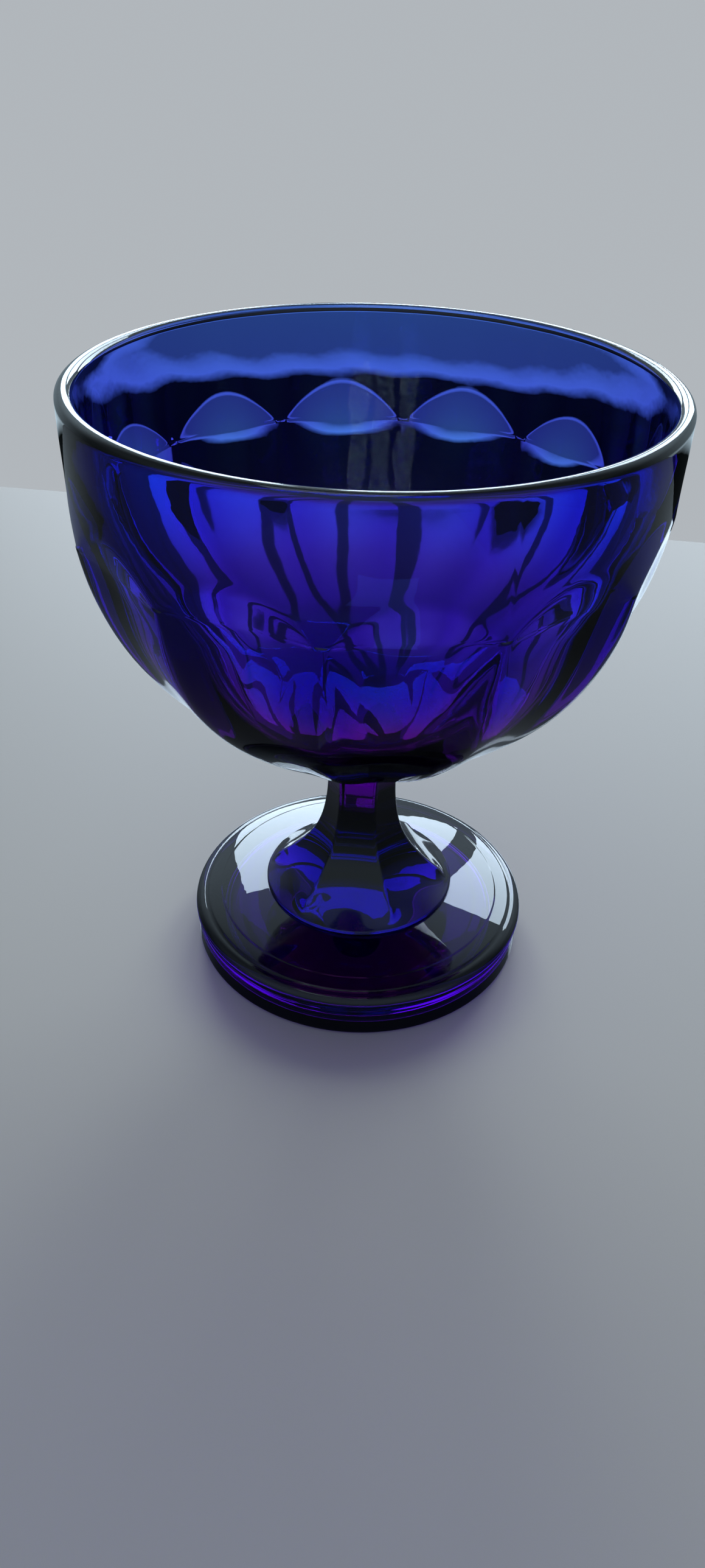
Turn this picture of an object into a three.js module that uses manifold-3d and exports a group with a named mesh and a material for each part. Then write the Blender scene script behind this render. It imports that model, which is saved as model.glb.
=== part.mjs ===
// Footed dessert bowl of pressed cobalt-blue glass.
// Millimetres, +Z up. The origin is on the axis, at the surface that the foot stands on.
// The front (-Y) looks along a ridge of the bowl and at the middle of a facet of the stem.
import * as THREE from 'three';
import { mergeVertices } from 'three/addons/utils/BufferGeometryUtils.js';
import Module from 'manifold-3d';

// Driving dimensions
const HEIGHT = 114.4;
const RIM_RADIUS = 50;
const RIM_WALL = 2.8;
const BAND_RADIUS = 49.7; // smooth band between the rim and the panels
const PANELS = 12;
const ARCH_HEIGHT = 98.9; // highest point of each half-moon bevel
const CHORD_HEIGHT = 92.4; // straight lower edge of each half-moon bevel
const CHORD_INSET = 1.5; // how far the middle of that edge lies inside the band
const CORNER_RADIUS = 24.3; // foot of the panels, where the flatter underside begins
const CORNER_HEIGHT = 52.1;
const JOINT_RADIUS = 7.6; // under the bowl, where the stem begins
const JOINT_HEIGHT = 44.4;
const CAVITY_FLOOR = 52.6; // lowest point of the inside of the bowl
const STEM_FACETS = 6;
const RING_RADIUS = 19.1; // round edge that ends the flare of the stem
const RING_HEIGHT = 13;
const RING_EDGE = 0.8;
const FOOT_RADIUS = 34;
const FOOT_WALL_RADIUS = 33.6; // side of the foot, under its lip
const LIP_TOP = 9.3;
const LIP_BOTTOM = 6.9;
const RECESS_RADIUS = 26; // shallow hollow in the underside of the foot
const RECESS_DEPTH = 1.8;

// Fit and fineness
const GAP = 0.3; // clearance at each hot-joined face
const ROUND_SEGMENTS = 72;
const CURVE_STEPS = 2;
const EDGE_CHAMFER = 0.7;
const OVERSHOOT = 2; // how far a cutting shape runs past the part it trims

const RIM_ROUND = RIM_WALL / 2;

const wasm = await Module();
wasm.setup();

function point(radius, height) {
  return new THREE.Vector2(radius, height);
}

// Turns an outline of (radius, height) about Z, in flat facets when segments is small.
function turned(outline, segments, firstAngle = 0) {
  const points = outline.getPoints(CURVE_STEPS);
  const geometry = new THREE.LatheGeometry(points, segments, firstAngle);
  return geometry.rotateX(Math.PI / 2);
}

function solid(geometry) {
  const bare = geometry.clone();
  bare.deleteAttribute('normal');
  bare.deleteAttribute('uv');
  const merged = mergeVertices(bare, 1e-4);
  const mesh = new wasm.Mesh({
    numProp: 3,
    vertProperties: new Float32Array(merged.attributes.position.array),
    triVerts: new Uint32Array(merged.index.array),
  });
  return new wasm.Manifold(mesh);
}

function geometryOf(manifold) {
  const mesh = manifold.getMesh();
  const geometry = new THREE.BufferGeometry();
  geometry.setAttribute('position', new THREE.BufferAttribute(mesh.vertProperties, 3));
  geometry.setIndex(new THREE.BufferAttribute(mesh.triVerts, 1));
  geometry.computeVertexNormals();
  return geometry;
}

// The bowl as a round wall: a straight blank outside, the rounded rim and the smooth inside.
function roundWall() {
  const outline = new THREE.Path();
  outline.moveTo(0, JOINT_HEIGHT - OVERSHOOT);
  outline.lineTo(BAND_RADIUS, JOINT_HEIGHT - OVERSHOOT);
  outline.lineTo(BAND_RADIUS, ARCH_HEIGHT);
  outline.lineTo(RIM_RADIUS, HEIGHT - RIM_ROUND);
  outline.absarc(RIM_RADIUS - RIM_ROUND, HEIGHT - RIM_ROUND, RIM_ROUND, 0, Math.PI, false);
  outline.splineThru([
    point(45.5, 94.4),
    point(43.4, 84.4),
    point(39.6, 74.4),
    point(33, 65.1),
    point(26, 59.2),
    point(17, 55.1),
    point(9, 53.2),
    point(0, CAVITY_FLOOR),
  ]);
  return turned(outline, ROUND_SEGMENTS);
}

// The panels as a twelve-sided solid: shallow underside, curved panels, then the steeper bevel,
// which leaves the round band in an arch over each panel.
function panelBlank() {
  const bevelTop = HEIGHT + OVERSHOOT;
  const bevelSlope = CHORD_INSET / (ARCH_HEIGHT - CHORD_HEIGHT);
  const bevelMiddle = BAND_RADIUS + bevelSlope * (bevelTop - ARCH_HEIGHT);
  const ridge = (middle) => middle / Math.cos(Math.PI / PANELS);
  const outline = new THREE.Path();
  outline.moveTo(0, JOINT_HEIGHT);
  outline.lineTo(JOINT_RADIUS, JOINT_HEIGHT);
  outline.quadraticCurveTo(13, 47.4, CORNER_RADIUS, CORNER_HEIGHT);
  outline.splineThru([
    point(29.7, 56.4),
    point(34.3, 60.4),
    point(39.3, 66.4),
    point(44.7, 74.4),
    point(48.4, 84.4),
    point(ridge(BAND_RADIUS - CHORD_INSET), CHORD_HEIGHT),
  ]);
  outline.lineTo(ridge(bevelMiddle), bevelTop);
  outline.lineTo(0, bevelTop);
  return turned(outline, PANELS);
}

function bowl() {
  return geometryOf(solid(roundWall()).intersect(solid(panelBlank())));
}

// Six flat facets that flare outwards, trimmed by the round edge at the bottom.
function stem() {
  const top = JOINT_HEIGHT - GAP;
  const facets = new THREE.Path();
  facets.moveTo(0, RING_HEIGHT - RING_EDGE);
  facets.lineTo(RING_RADIUS / Math.cos(Math.PI / STEM_FACETS), RING_HEIGHT - RING_EDGE);
  facets.lineTo(RING_RADIUS / Math.cos(Math.PI / STEM_FACETS), RING_HEIGHT);
  facets.splineThru([
    point(17.3, 15.6),
    point(13.2, 19),
    point(9.6, 23.4),
    point(7.5, 29.4),
    point(6.8, 35.4),
    point(7, 40.4),
    point(JOINT_RADIUS, top),
  ]);
  facets.lineTo(0, top);

  const round = new THREE.Path();
  round.moveTo(0, RING_HEIGHT - RING_EDGE - OVERSHOOT);
  round.lineTo(RING_RADIUS, RING_HEIGHT - RING_EDGE - OVERSHOOT);
  round.lineTo(RING_RADIUS, top + OVERSHOOT);
  round.lineTo(0, top + OVERSHOOT);

  const firstRidge = Math.PI / STEM_FACETS;
  const faceted = solid(turned(facets, STEM_FACETS, firstRidge));
  return geometryOf(faceted.intersect(solid(turned(round, ROUND_SEGMENTS))));
}

// A domed disc with a rounded lip, a straight side and a shallow hollow underneath.
function foot() {
  const seat = RING_HEIGHT - RING_EDGE - GAP;
  const outline = new THREE.Path();
  outline.moveTo(0, RECESS_DEPTH);
  outline.lineTo(RECESS_RADIUS - RECESS_DEPTH, RECESS_DEPTH);
  outline.lineTo(RECESS_RADIUS, 0);
  outline.lineTo(FOOT_WALL_RADIUS - EDGE_CHAMFER, 0);
  outline.lineTo(FOOT_WALL_RADIUS, EDGE_CHAMFER);
  outline.lineTo(FOOT_WALL_RADIUS, LIP_BOTTOM);
  outline.splineThru([
    point(FOOT_RADIUS, LIP_BOTTOM + 0.7),
    point(FOOT_RADIUS - 0.5, LIP_TOP - 0.6),
    point(FOOT_RADIUS - 2.4, LIP_TOP),
  ]);
  outline.lineTo(RING_RADIUS + GAP, seat);
  outline.lineTo(0, seat);
  return turned(outline, ROUND_SEGMENTS);
}

function glassPiece(name, geometry, color) {
  const material = new THREE.MeshStandardMaterial({ color, roughness: 0.05, metalness: 0 });
  const mesh = new THREE.Mesh(geometry, material);
  mesh.name = name;
  return mesh;
}

const group = new THREE.Group();
group.add(glassPiece('bowl', bowl(), 0x1a26b0));
group.add(glassPiece('stem', stem(), 0x2a1f9e));
group.add(glassPiece('foot', foot(), 0x1c1c86));

export default group;
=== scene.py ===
"""A footed dessert bowl of pressed cobalt-blue glass, standing on a pale table.

Metres. Heights and radii come from the frame's boxes; shapes between them are given in millimetres.
"""
import math

import bpy
import numpy as np
from mathutils import Matrix, Vector


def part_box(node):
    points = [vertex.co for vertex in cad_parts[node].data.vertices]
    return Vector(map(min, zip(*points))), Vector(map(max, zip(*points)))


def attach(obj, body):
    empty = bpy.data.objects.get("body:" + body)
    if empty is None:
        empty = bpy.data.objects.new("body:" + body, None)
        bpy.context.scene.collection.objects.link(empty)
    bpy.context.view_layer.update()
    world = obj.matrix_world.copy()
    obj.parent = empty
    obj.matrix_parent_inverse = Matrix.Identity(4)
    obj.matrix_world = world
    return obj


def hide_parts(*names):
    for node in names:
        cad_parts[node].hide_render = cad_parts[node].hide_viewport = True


MM = 0.001

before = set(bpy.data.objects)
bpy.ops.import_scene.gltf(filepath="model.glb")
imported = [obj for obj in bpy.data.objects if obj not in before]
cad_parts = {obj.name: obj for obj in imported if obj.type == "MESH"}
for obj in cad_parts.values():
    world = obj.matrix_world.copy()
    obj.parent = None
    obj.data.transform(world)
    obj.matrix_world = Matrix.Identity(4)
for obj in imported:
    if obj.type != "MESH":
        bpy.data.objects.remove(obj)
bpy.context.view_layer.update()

# The CAD boxes give the sizes that the glass has to keep.
bowl_low, bowl_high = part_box("bowl")
stem_low, stem_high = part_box("stem")
foot_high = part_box("foot")[1]
RIM_RADIUS = bowl_high[0] / MM
RIM_HEIGHT = bowl_high[2] / MM
JOINT_HEIGHT = bowl_low[2] / MM
RING_RADIUS = stem_high[0] / MM
FOOT_RADIUS = foot_high[0] / MM
SEAT_HEIGHT = (stem_low[2] + foot_high[2]) / 2 / MM

# Bowl
PANELS = 12
RIM_ROUND = 1.4
BAND_RADIUS = 49.7  # smooth band between the rim and the panels
ARCH_HEIGHT = 98.9  # highest point of each half-moon bevel
CHORD_HEIGHT = 92.4  # straight lower edge of each half-moon bevel
CHORD_INSET = 1.5
BEVEL_SLOPE = CHORD_INSET / (ARCH_HEIGHT - CHORD_HEIGHT)
BOTTOM_HEIGHT = 46  # below this the outside is plain and round
JOINT_RADIUS = 7.6
CUP_EDGE_RADIUS = 9  # the inside wall ends here, and its rounded bottom begins
CUP_EDGE_HEIGHT = 53.3
CUP_FLOOR = 52.6
EDGE_SOFTNESS = 1.2  # rounding of the ridges between the panels
CUSP_SOFTNESS = 0.35  # the same where they meet the band
PANEL_HOLLOW = 0.5
RIPPLE = 0.05
MOULD_PARTS = 3
SEAM_RISE = 0.012
SEAM_WIDTH = 0.3
SEAM_ANGLE = math.radians(30)

# Stem and foot
FACETS = 6
RING_HEIGHT = 13.0
FACET_SOFTNESS = 0.5
WALL_RADIUS = 33.6
EDGE_ROUND = 1.1  # between the side of the foot and the face that it stands on
RECESS_RADIUS = 26
RECESS_HEIGHT = 2.2
LIP_START = 6.3
LIP_HEIGHT = 7.4
LIP_ROUND = 2.1
LIP_FLATNESS = 0.92
LIP_TOP = LIP_HEIGHT + LIP_ROUND * LIP_FLATNESS
FOOT_STEPS = (31.4, 28.6)
STEP_RISE = 0.09
STEP_WIDTH = 0.4
FUSED_GAP = 0.02  # fused faces stay this far apart, too little to see

# Glass
GLASS_IOR = 1.5
ABSORPTION_DENSITY = 560
BOWL_ABSORPTION = (0.62, 0.0, 0.845, 1)
BASE_ABSORPTION = (0.68, 0.0, 0.87, 1)
VIOLET_TINT = (0.74, 0.38, 0.52, 1)
AZURE_TINT = (0.18, 1.0, 1.0, 1)
TINT_HEIGHTS = (66, 88)  # violet below, azure above
SHADOW_TINT = (0.4, 0.36, 0.75, 1)
WHITE = (1, 1, 1, 1)

# Mesh fineness
PANEL_COLUMNS = 36
STEM_COLUMNS = 60
FOOT_COLUMNS = 360

# Stage. The room's levels go by elevation in degrees, and by side from -1 in front to 1 behind.
TABLE = {"left": -0.6, "right": 0.6, "front": -0.6, "back": 0.22}
BACKDROP = (0.44, 0.47, 0.5, 1)
DAYLIGHT = (0.66, 0.86, 1, 1)
LAMP_COLOR = (0.68, 0.84, 1)
ROOM_BY_ELEVATION = [(-18.6, 0.01), (-17.8, 0.9), (-17.1, 0.8), (-16.3, 0.3), (6, 0.5), (30, 1)]
ROOM_BY_SIDE = [(-0.6, 0.5), (-0.1, 0.25), (0.2, 0.2), (0.75, 1)]

# Camera, with angles in degrees
CAMERA_DISTANCE = 0.1867  # from the axis
CAMERA_RISE = 0.0535  # above the rim
CAMERA_ROUND_BY = 7
CAMERA_PAN = 0.56
CAMERA_DOWN = 35.41
CAMERA_ROLL = 1.6


# ---------------------------------------------------------------- outlines

def smooth_curve(points):
    """A natural cubic spline through (x, y) points, as a function of x."""
    x, y = np.array(sorted(points), float).T
    gap, rise = np.diff(x), np.diff(y)
    n = len(x)
    system = np.eye(n)
    right = np.zeros(n)
    for i in range(1, n - 1):
        system[i, i - 1 : i + 2] = gap[i - 1], 2 * (gap[i - 1] + gap[i]), gap[i]
        right[i] = 3 * (rise[i] / gap[i] - rise[i - 1] / gap[i - 1])
    bend = np.linalg.solve(system, right)

    def value(at):
        i = np.clip(np.searchsorted(x, at) - 1, 0, n - 2)
        t = at - x[i]
        slope = rise[i] / gap[i] - gap[i] * (2 * bend[i] + bend[i + 1]) / 3
        cube = (bend[i + 1] - bend[i]) / (3 * gap[i])
        return y[i] + t * (slope + t * (bend[i] + t * cube))

    return value


def soft_min(a, b, softness):
    """The lesser of a and b, rounded where they cross."""
    near = np.maximum(softness - np.abs(a - b), 0) / softness
    return np.minimum(a, b) - near * near * softness / 4


def soft_max(a, b, softness):
    return -soft_min(-a, -b, softness)


def ease(t):
    t = np.clip(t, 0, 1)
    return t * t * (3 - 2 * t)


def gathered(count, ends):
    """Steps from 0 to 1, closer together at both ends as ends goes from 0 to 1."""
    t = np.linspace(0, 1, count)
    return t - ends * np.sin(2 * np.pi * t) / (2 * np.pi)


def facet_columns(facets, per_facet, first_ridge):
    """Angles right round, closer together at each ridge."""
    towards_ridge = 0.55
    steps = gathered(per_facet + 1, towards_ridge)[:-1]
    starts = first_ridge + np.arange(facets) * 2 * np.pi / facets
    return (starts[:, None] + steps * 2 * np.pi / facets).ravel()


def off_middle(angles, facets, first_ridge=0):
    """How far each angle is from the middle of its facet."""
    pitch = 2 * np.pi / facets
    return np.mod(angles - first_ridge, pitch) - pitch / 2


def faceted(middle, angles, facets, first_ridge, softness):
    """The radius of a solid with flat facets, whose ridges are rounded."""
    pitch = 2 * np.pi / facets
    off = off_middle(angles, facets, first_ridge)
    here = middle / np.cos(off)
    beside = middle / np.cos(pitch - np.abs(off))
    return soft_min(here, beside, softness)


# ---------------------------------------------------------------- meshes

def turned_mesh(name, angles, rows, seams):
    """Closes rows of (radius, height) into a solid about Z. The first and last rows lie on the axis.

    angles run anticlockwise from the front, -Y. seams holds the rows whose faces meet another piece.
    """
    columns = len(angles)
    middle = rows[1:-1]
    radius = np.array([np.broadcast_to(r, columns) for r, _ in middle])
    height = np.array([np.broadcast_to(h, columns) for _, h in middle])
    ring = np.stack([radius * np.sin(angles), -radius * np.cos(angles), height], -1)
    ends = [(0, 0, float(np.mean(rows[i][1]))) for i in (0, -1)]
    points = np.concatenate([ring.reshape(-1, 3), ends]) * MM
    first, last = len(points) - 2, len(points) - 1
    here = np.arange(columns)
    after = np.roll(here, -1)
    faces, marks = [], []
    for row in range(len(middle) - 1):
        low, high = row * columns, (row + 1) * columns
        faces += np.stack([low + here, low + after, high + after, high + here], -1).tolist()
        marks += [row + 1 in seams] * columns
    top = (len(middle) - 1) * columns
    faces += [(first, int(b), int(a)) for a, b in zip(here, after)]
    faces += [(last, top + int(a), top + int(b)) for a, b in zip(here, after)]
    marks += [0 in seams] * columns + [len(middle) in seams] * columns
    mesh = bpy.data.meshes.new(name)
    mesh.from_pydata(points.tolist(), [], faces)
    mesh.polygons.foreach_set("use_smooth", [True] * len(faces))
    fused = mesh.attributes.new("fused", "FLOAT", "FACE")
    fused.data.foreach_set("value", [float(m) for m in marks])
    mesh.update()
    piece = bpy.data.objects.new(name, mesh)
    bpy.context.collection.objects.link(piece)
    return piece


def waviness(angles, height, amount, phase):
    """The slow unevenness of glass that cooled against a mould."""
    waves = np.sin(3 * angles + height / 9 + phase)
    waves = waves + 0.6 * np.sin(7 * angles - height / 6 + 2 * phase)
    waves = waves + 0.4 * np.sin(11 * angles + height / 4 + 3 * phase)
    waves = waves + 0.3 * np.sin(23 * angles - height / 2.2 + 5 * phase)
    return amount * waves / 2


# ---------------------------------------------------------------- bowl

# Radius at the middle of a panel, and height
BELOW_CHORD = [
    (JOINT_RADIUS, 44.4),
    (10.4, 45.0),
    (14.5, 46.6),
    (19.0, 49.0),
    (23.9, 52.3),
    (28.8, 56.4),
    (33.2, 60.6),
    (38.2, 66.5),
    (43.0, 74.4),
    (46.75, 84.4),
    (BAND_RADIUS - CHORD_INSET, CHORD_HEIGHT),
]
# Height, and radius of the inside
INSIDE = [
    (CUP_EDGE_HEIGHT, CUP_EDGE_RADIUS),
    (55.1, 17),
    (59.2, 26),
    (65.1, 33),
    (74.4, 39.6),
    (84.4, 43.4),
    (94.4, 45.5),
    (113, 47.2),
]
inner_radius = smooth_curve(INSIDE)


def below_chord(count):
    """Evenly spaced (panel middle radius, height) from the joint to the half-moons' chord."""
    knots = np.array(BELOW_CHORD)
    along = np.concatenate([[0], np.cumsum(np.hypot(*np.diff(knots, axis=0).T))])
    radius = smooth_curve(list(zip(along, knots[:, 0])))
    height = smooth_curve(list(zip(along, knots[:, 1])))
    steps = np.linspace(0, along[-1], count)
    return list(zip(radius(steps), height(steps)))


def panel_face(angles, middle, height):
    """The radius of the twelve slightly hollow panels, with rounded ridges between them."""
    hollow = PANEL_HOLLOW * np.cos(off_middle(angles, PANELS) * PANELS / 2) ** 2
    hollow = hollow * ease((CHORD_HEIGHT + 4 - height) / 8) * ease((height - BOTTOM_HEIGHT) / 9)
    softness = EDGE_SOFTNESS + (CUSP_SOFTNESS - EDGE_SOFTNESS) * ease((height - 80) / 12)
    return faceted(middle - hollow, angles, PANELS, 0, softness)


def above_chord(angles, height):
    """The half-moon bevels, and the round band that they cut into."""
    middle = BELOW_CHORD[-1][0] + BEVEL_SLOPE * soft_max(height - CHORD_HEIGHT, 0, 0.5)
    band = BAND_RADIUS + (RIM_RADIUS - BAND_RADIUS) * ease((height - ARCH_HEIGHT) / 14)
    return soft_min(panel_face(angles, middle, height), band, 0.25)


def mould_seam(angles, height):
    """The faint raised line that each joint of a three-part mould leaves down a ridge."""
    off = off_middle(angles, MOULD_PARTS, SEAM_ANGLE - np.pi / MOULD_PARTS) * RIM_RADIUS
    return SEAM_RISE * np.exp(-((off / SEAM_WIDTH) ** 2)) * ease((height - 50) / 10)


def make_bowl():
    angles = facet_columns(PANELS, PANEL_COLUMNS, 0)
    depth = BAND_RADIUS * (1 - np.cos(off_middle(angles, PANELS)))
    arch = np.maximum(ARCH_HEIGHT - depth / BEVEL_SLOPE, CHORD_HEIGHT + 0.6)
    rim_start = RIM_HEIGHT - RIM_ROUND

    def dressed(radius, height):
        rough = waviness(angles, height, RIPPLE, 0.4) + mould_seam(angles, height)
        return radius + rough * ease((height - BOTTOM_HEIGHT) / 8) - SEAM_RISE

    rows = [(0, JOINT_HEIGHT)]
    rows += [(JOINT_RADIUS * t, JOINT_HEIGHT) for t in (0.5, 1)]
    seams = {0, 1}
    for middle, height in below_chord(104)[1:]:
        flat = ease((middle - 8) / 9)  # the panels fade out towards the joint
        radius = middle * (1 - flat) + panel_face(angles, middle, height) * flat
        rows.append((dressed(radius, height), height))
    chord, band_top = (np.full(len(angles), h) for h in (CHORD_HEIGHT, rim_start))
    for low, high, count, ends in ((chord, arch, 14, 0.5), (arch, band_top, 24, 0.3)):
        for t in gathered(count, ends)[1:]:
            height = low + (high - low) * t
            rows.append((dressed(above_chord(angles, height), height), height))
    outside, inside = rows[-1][0], inner_radius(rim_start)
    mid, half = (outside + inside) / 2, (outside - inside) / 2
    for t in np.linspace(0, np.pi, 17)[1:]:
        rows.append((mid + half * np.cos(t), rim_start + RIM_ROUND * np.sin(t)))
    for t in ease_in(np.linspace(0, 1, 58)[1:]):
        height = rim_start - (rim_start - CUP_EDGE_HEIGHT) * t
        wave = waviness(angles, height, RIPPLE, 2.1) * ease((height - CUP_EDGE_HEIGHT) / 6)
        rows.append((inner_radius(height) + wave, height))
    for t in np.linspace(1, 0, 12)[1:]:
        rows.append((CUP_EDGE_RADIUS * t, CUP_FLOOR + (CUP_EDGE_HEIGHT - CUP_FLOOR) * t * t))
    return turned_mesh("bowl_glass", angles, rows, seams)


def ease_in(t):
    """Longer steps first, shorter steps last."""
    return 1 - (1 - t) ** 1.6


# ---------------------------------------------------------------- stem

# Height, and radius at the middle of a facet
STEM = [
    (RING_HEIGHT, 19.0),
    (15.6, 15.1),
    (19, 11.4),
    (23.4, 8.3),
    (29.4, 6.5),
    (35.4, 5.95),
    (40.4, 6.3),
    (44.4, JOINT_RADIUS),
]
stem_middle = smooth_curve(STEM)


def make_stem():
    first_ridge = math.pi / FACETS
    angles = facet_columns(FACETS, STEM_COLUMNS, first_ridge)
    rows = [(0, SEAT_HEIGHT)]
    rows += [(RING_RADIUS * t, SEAT_HEIGHT) for t in (0.35, 0.7, 1)]
    seams = {0, 1, 2}
    ring_top = RING_HEIGHT - 0.25
    rows += [(RING_RADIUS, SEAT_HEIGHT + (ring_top - SEAT_HEIGHT) * t) for t in (0.35, 0.7, 1)]
    low, top = RING_HEIGHT - 0.2, JOINT_HEIGHT - FUSED_GAP
    for t in gathered(90, 0.25):
        height = low + (top - low) * t**1.25
        middle = stem_middle(max(height, RING_HEIGHT))
        radius = faceted(middle, angles, FACETS, first_ridge, FACET_SOFTNESS)
        flat = ease((height - RING_HEIGHT) / 3.6) * ease((top - height) / 5)
        rows.append((middle + (radius - middle) * flat, height))
    seams |= {len(rows) - 1, len(rows)}
    rows += [(JOINT_RADIUS * 0.5, top), (0, top)]
    return turned_mesh("stem_glass", angles, rows, seams)


# ---------------------------------------------------------------- foot

def make_foot():
    angles = np.arange(FOOT_COLUMNS) * 2 * np.pi / FOOT_COLUMNS
    top = SEAT_HEIGHT - FUSED_GAP
    # Underneath: the shallow hollow, its rounded step and the flat standing ring
    rows = [(0, RECESS_HEIGHT)]
    rows += [(RECESS_RADIUS * t, RECESS_HEIGHT - t**4) for t in np.linspace(0, 0.97, 14)[1:]]
    rows += [(RECESS_RADIUS + 1.1 * t, 1.05 * (1 - ease(t))) for t in np.linspace(0, 1, 9)[:-1]]
    rows += [(r, 0) for r in (27.1, 28.5, 30, 31.5, 32.5)]
    # The side, up to the groove under the lip
    centre = WALL_RADIUS - EDGE_ROUND
    for turn in np.linspace(-np.pi / 2, 0, 9)[1:]:
        rows.append((centre + EDGE_ROUND * math.cos(turn), EDGE_ROUND * (1 + math.sin(turn))))
    rows += [(WALL_RADIUS, h) for h in np.linspace(EDGE_ROUND, LIP_START, 12)[1:]]
    groove = [(LIP_START, WALL_RADIUS), (6.6, 33.55), (7.0, 33.8), (LIP_HEIGHT, FOOT_RADIUS)]
    under_lip = smooth_curve(groove)
    rows += [(float(under_lip(h)), h) for h in np.linspace(LIP_START, LIP_HEIGHT, 8)[1:]]
    # The rounded lip, the dome and the fused seat
    centre = FOOT_RADIUS - LIP_ROUND
    for turn in np.linspace(0, np.pi / 2, 14)[1:]:
        rise = LIP_ROUND * LIP_FLATNESS * math.sin(turn)
        rows.append((centre + LIP_ROUND * math.cos(turn), LIP_HEIGHT + rise))
    for radius in np.linspace(centre - 0.15, RING_RADIUS + 0.1, 128):
        rows.append((radius, dome(radius, centre, LIP_TOP, top)))
    seams = {len(rows), len(rows) + 1, len(rows) + 2}
    rows += [(RING_RADIUS * t, top) for t in (1, 0.7, 0.35)]
    rows += [(0, top)]
    return turned_mesh("foot_glass", angles, rows, seams)


def dome(radius, outer, low, high):
    """The top of the foot, with two fine steps near its edge."""
    inward = (outer - radius) / (outer - RING_RADIUS)
    level = low + (high - low - len(FOOT_STEPS) * STEP_RISE) * inward**0.8
    for step in FOOT_STEPS:
        level += STEP_RISE * (1 - ease((radius - step) / STEP_WIDTH + 0.5))
    return level


# ---------------------------------------------------------------- glass

def add(nodes, kind, **inputs):
    """A node of this kind, with its inputs set by name, such as From_Min=0."""
    node = nodes.new(kind)
    for name, value in inputs.items():
        node.inputs[name.replace("_", " ")].default_value = value
    return node


def new_material(name):
    material = bpy.data.materials.new(name)
    material.use_nodes = True
    return material, material.node_tree.nodes, material.node_tree.links


def noise_node(nodes, links, place, scale, detail):
    noise = add(nodes, "ShaderNodeTexNoise", Scale=scale, Detail=detail)
    links.new(place.outputs["Object"], noise.inputs["Vector"])
    return noise


def color_mix(nodes, links, factor, first, second, blend="MIX"):
    """A mix of two colours. factor, first and second are each a value or an output socket."""
    mix = nodes.new("ShaderNodeMix")
    mix.data_type = "RGBA"
    mix.blend_type = blend
    sockets = mix.inputs[0], mix.inputs[6], mix.inputs[7]
    for socket, given in zip(sockets, (factor, first, second)):
        if isinstance(given, bpy.types.NodeSocket):
            links.new(given, socket)
        else:
            socket.default_value = given
    return mix.outputs[2]


def glass_material(name, absorption):
    """Cobalt glass. It drinks red and green on the way through, and a little blue where it is thick."""
    material, nodes, links = new_material(name)
    nodes.clear()
    out = nodes.new("ShaderNodeOutputMaterial")
    shader = add(nodes, "ShaderNodeBsdfPrincipled", Transmission_Weight=1)
    place = nodes.new("ShaderNodeTexCoord")
    split = nodes.new("ShaderNodeSeparateXYZ")
    links.new(place.outputs["Object"], split.inputs[0])

    # The thin wall above the panels looks bluer, and the thick glass below more violet.
    low, high = TINT_HEIGHTS
    level = add(nodes, "ShaderNodeMapRange", From_Min=low * MM, From_Max=high * MM)
    links.new(split.outputs["Z"], level.inputs["Value"])
    tint = nodes.new("ShaderNodeValToRGB")
    links.new(level.outputs[0], tint.inputs[0])
    tint.color_ramp.elements[0].color = VIOLET_TINT
    tint.color_ramp.elements[1].color = AZURE_TINT

    # Fused faces can't be seen: they neither bend nor tint the light.
    fused = nodes.new("ShaderNodeAttribute")
    fused.attribute_name = "fused"
    bend = add(nodes, "ShaderNodeMapRange", To_Min=GLASS_IOR, To_Max=1)
    links.new(fused.outputs["Fac"], bend.inputs["Value"])
    links.new(bend.outputs[0], shader.inputs["IOR"])
    body = color_mix(nodes, links, fused.outputs["Fac"], tint.outputs[0], WHITE)
    links.new(body, shader.inputs["Base Color"])

    # Polished, with faint smears, and rubbed duller where it stands and along the rim.
    smear = noise_node(nodes, links, place, 60, 4)
    gloss = add(nodes, "ShaderNodeMapRange", From_Min=0.5, From_Max=0.8, To_Min=0, To_Max=0.02)
    links.new(smear.outputs[0], gloss.inputs["Value"])
    rough = gloss.outputs[0]
    rim = RIM_HEIGHT * MM
    for start, end, most in ((0.0012, 0.0002, 0.4), (rim - 0.0006, rim, 0.1)):
        rub = add(nodes, "ShaderNodeMapRange", From_Min=start, From_Max=end, To_Max=most)
        links.new(split.outputs["Z"], rub.inputs["Value"])
        worst = nodes.new("ShaderNodeMath")
        worst.operation = "MAXIMUM"
        links.new(rough, worst.inputs[0])
        links.new(rub.outputs[0], worst.inputs[1])
        rough = worst.outputs[0]
    links.new(rough, shader.inputs["Roughness"])

    # The fine orange-peel of a pressed surface.
    peel = noise_node(nodes, links, place, 260, 2)
    bump = add(nodes, "ShaderNodeBump", Strength=0.15, Distance=0.00006)
    links.new(peel.outputs[0], bump.inputs["Height"])
    links.new(bump.outputs[0], shader.inputs["Normal"])

    # Light that reaches the table is tinted.
    shade = nodes.new("ShaderNodeBsdfTransparent")
    shadow = color_mix(nodes, links, fused.outputs["Fac"], SHADOW_TINT, WHITE)
    links.new(shadow, shade.inputs["Color"])
    path = nodes.new("ShaderNodeLightPath")
    lit = nodes.new("ShaderNodeMixShader")
    links.new(path.outputs["Is Shadow Ray"], lit.inputs[0])
    links.new(shader.outputs[0], lit.inputs[1])
    links.new(shade.outputs[0], lit.inputs[2])
    links.new(lit.outputs[0], out.inputs["Surface"])

    absorb = add(nodes, "ShaderNodeVolumeAbsorption", Color=absorption, Density=ABSORPTION_DENSITY)
    links.new(absorb.outputs[0], out.inputs["Volume"])
    return material


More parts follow.
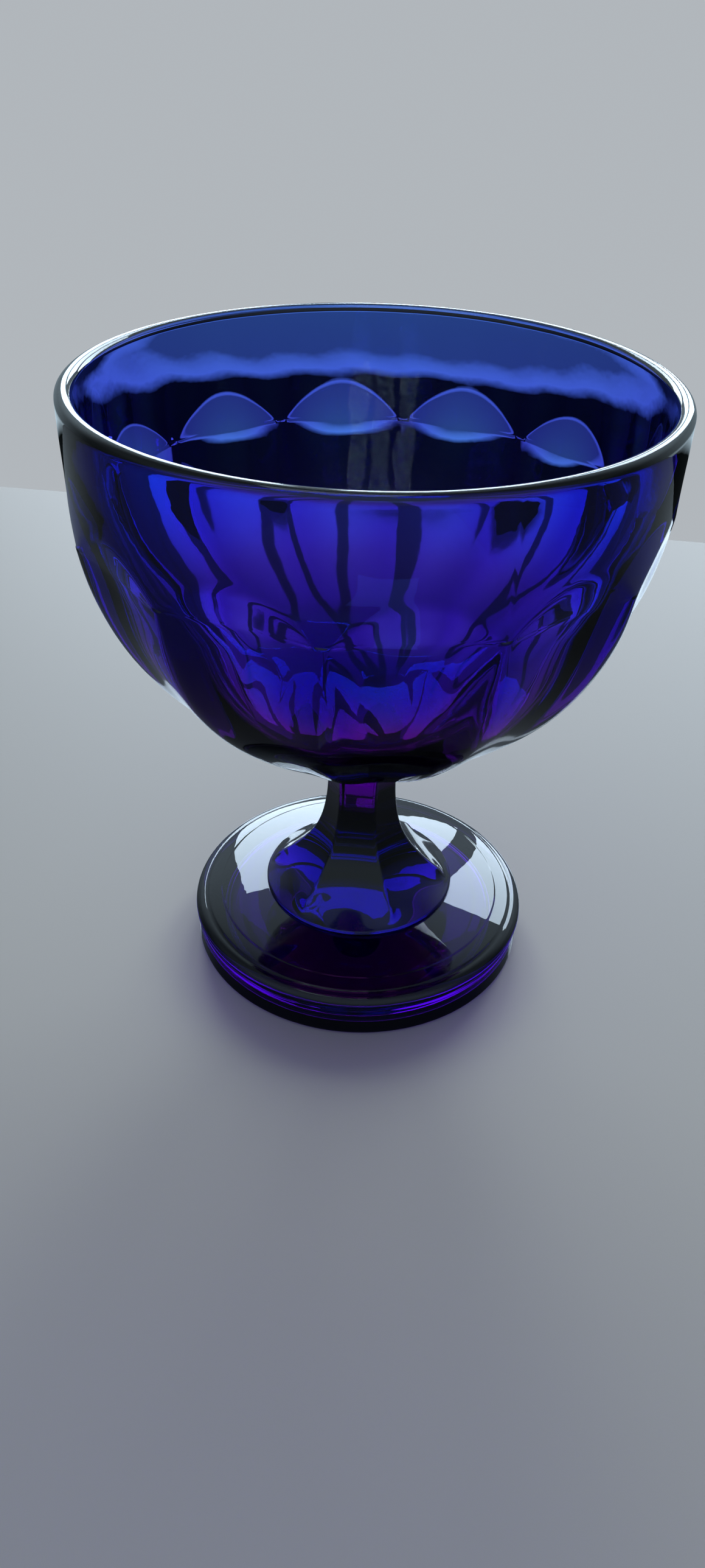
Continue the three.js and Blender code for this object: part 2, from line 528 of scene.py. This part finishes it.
PIECES = [
    ("bowl", make_bowl, BOWL_ABSORPTION),
    ("stem", make_stem, BASE_ABSORPTION),
    ("foot", make_foot, BASE_ABSORPTION),
]
for node, make, absorption in PIECES:
    piece = make()
    piece.data.materials.append(glass_material(node + "_cobalt_glass", absorption))
    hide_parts(node)
    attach(piece, "root")


# ---------------------------------------------------------------- stage

def make_table():
    """A plain pale table top, which ends a little way behind the bowl."""
    ends = (("left", "front"), ("right", "front"), ("right", "back"), ("left", "back"))
    corners = [(TABLE[side], TABLE[end], 0) for side, end in ends]
    mesh = bpy.data.meshes.new("table_top")
    mesh.from_pydata(corners, [], [(0, 1, 2, 3)])
    table = bpy.data.objects.new("table_top", mesh)
    bpy.context.collection.objects.link(table)
    material, nodes, links = new_material("pale_table")
    pale = nodes["Principled BSDF"]
    pale.inputs["Base Color"].default_value = (0.43, 0.37, 0.33, 1)
    pale.inputs["Roughness"].default_value = 0.55
    pale.inputs["Specular IOR Level"].default_value = 0.15
    # The glass sees a darker, glossier table, which keeps it as deep as cobalt glass is on wood.
    dark = (0.06, 0.055, 0.055, 1)
    polished = add(nodes, "ShaderNodeBsdfPrincipled", Base_Color=dark, Roughness=0.07)
    path = nodes.new("ShaderNodeLightPath")
    mix = nodes.new("ShaderNodeMixShader")
    links.new(path.outputs["Is Camera Ray"], mix.inputs[0])
    links.new(polished.outputs[0], mix.inputs[1])
    links.new(pale.outputs[0], mix.inputs[2])
    links.new(mix.outputs[0], nodes["Material Output"].inputs["Surface"])
    mesh.materials.append(material)


def stepped(nodes, links, value, steps):
    """A smooth run of levels over a value from -1 to 1. steps holds (value, level) pairs."""
    lift = add(nodes, "ShaderNodeMapRange", From_Min=-1)
    links.new(value, lift.inputs["Value"])
    ramp = nodes.new("ShaderNodeValToRGB")
    ramp.color_ramp.interpolation = "EASE"
    links.new(lift.outputs[0], ramp.inputs[0])
    elements = ramp.color_ramp.elements
    while len(elements) < len(steps):
        elements.new(0.5)
    for element, (at, shade) in zip(elements, steps):
        element.position = 0.5 + 0.5 * at
        element.color = (shade, shade, shade, 1)
    return ramp.outputs[0]


def make_world():
    """A pale backdrop behind, a dim room in front, and darkness below the table's edge."""
    world = bpy.data.worlds.new("studio")
    bpy.context.scene.world = world
    world.use_nodes = True
    nodes, links = world.node_tree.nodes, world.node_tree.links
    nodes.clear()
    out = nodes.new("ShaderNodeOutputWorld")
    background = nodes.new("ShaderNodeBackground")
    place = nodes.new("ShaderNodeTexCoord")
    split = nodes.new("ShaderNodeSeparateXYZ")
    links.new(place.outputs["Generated"], split.inputs[0])
    levels = [(math.sin(math.radians(at)), shade) for at, shade in ROOM_BY_ELEVATION]
    by_elevation = stepped(nodes, links, split.outputs["Z"], levels)
    by_side = stepped(nodes, links, split.outputs["Y"], ROOM_BY_SIDE)
    room = color_mix(nodes, links, 1, by_elevation, by_side, "MULTIPLY")
    room = color_mix(nodes, links, 1, room, DAYLIGHT, "MULTIPLY")
    path = nodes.new("ShaderNodeLightPath")
    seen = color_mix(nodes, links, path.outputs["Is Camera Ray"], room, BACKDROP)
    links.new(seen, background.inputs["Color"])
    links.new(background.outputs[0], out.inputs["Surface"])


def turned(degrees, axis):
    return Matrix.Rotation(math.radians(degrees), 4, axis)


def make_camera():
    """Above the rim and close, with the wide lens of a phone, a little to the right of a ridge."""
    data = bpy.data.cameras.new("camera")
    data.lens = 26.55
    data.sensor_width = 36
    data.clip_start = 0.01
    camera = bpy.data.objects.new("camera", data)
    bpy.context.collection.objects.link(camera)
    place = Matrix.Translation((0, -CAMERA_DISTANCE, RIM_HEIGHT * MM + CAMERA_RISE))
    aim = turned(CAMERA_PAN, "Z") @ turned(90 - CAMERA_DOWN, "X") @ turned(CAMERA_ROLL, "Z")
    camera.matrix_world = turned(CAMERA_ROUND_BY, "Z") @ place @ aim
    bpy.context.scene.camera = camera


make_table()
make_world()
make_camera()

# name, position, size, watts
LIGHTS = [
    ("window_left", (-0.33, 0.85, 0.46), (0.27, 0.62), 5),
    ("window_middle", (0.0, 0.85, 0.53), (0.27, 0.48), 3.6),
    ("window_right", (0.33, 0.85, 0.46), (0.27, 0.62), 5),
    ("overhead", (-0.1, -0.05, 0.9), (0.4, 0.4), 0.6),
]
for name, place, size, power in LIGHTS:
    data = bpy.data.lights.new(name, "AREA")
    data.shape = "RECTANGLE"
    data.size, data.size_y = size
    data.energy = power
    data.color = LAMP_COLOR
    lamp = bpy.data.objects.new(name, data)
    bpy.context.collection.objects.link(lamp)
    lamp.location = place
    towards = Vector((place[0], 0, 0.05)) - lamp.location
    lamp.rotation_euler = towards.to_track_quat("-Z", "Y").to_euler()

bpy.context.scene.view_settings.view_transform = "Standard"
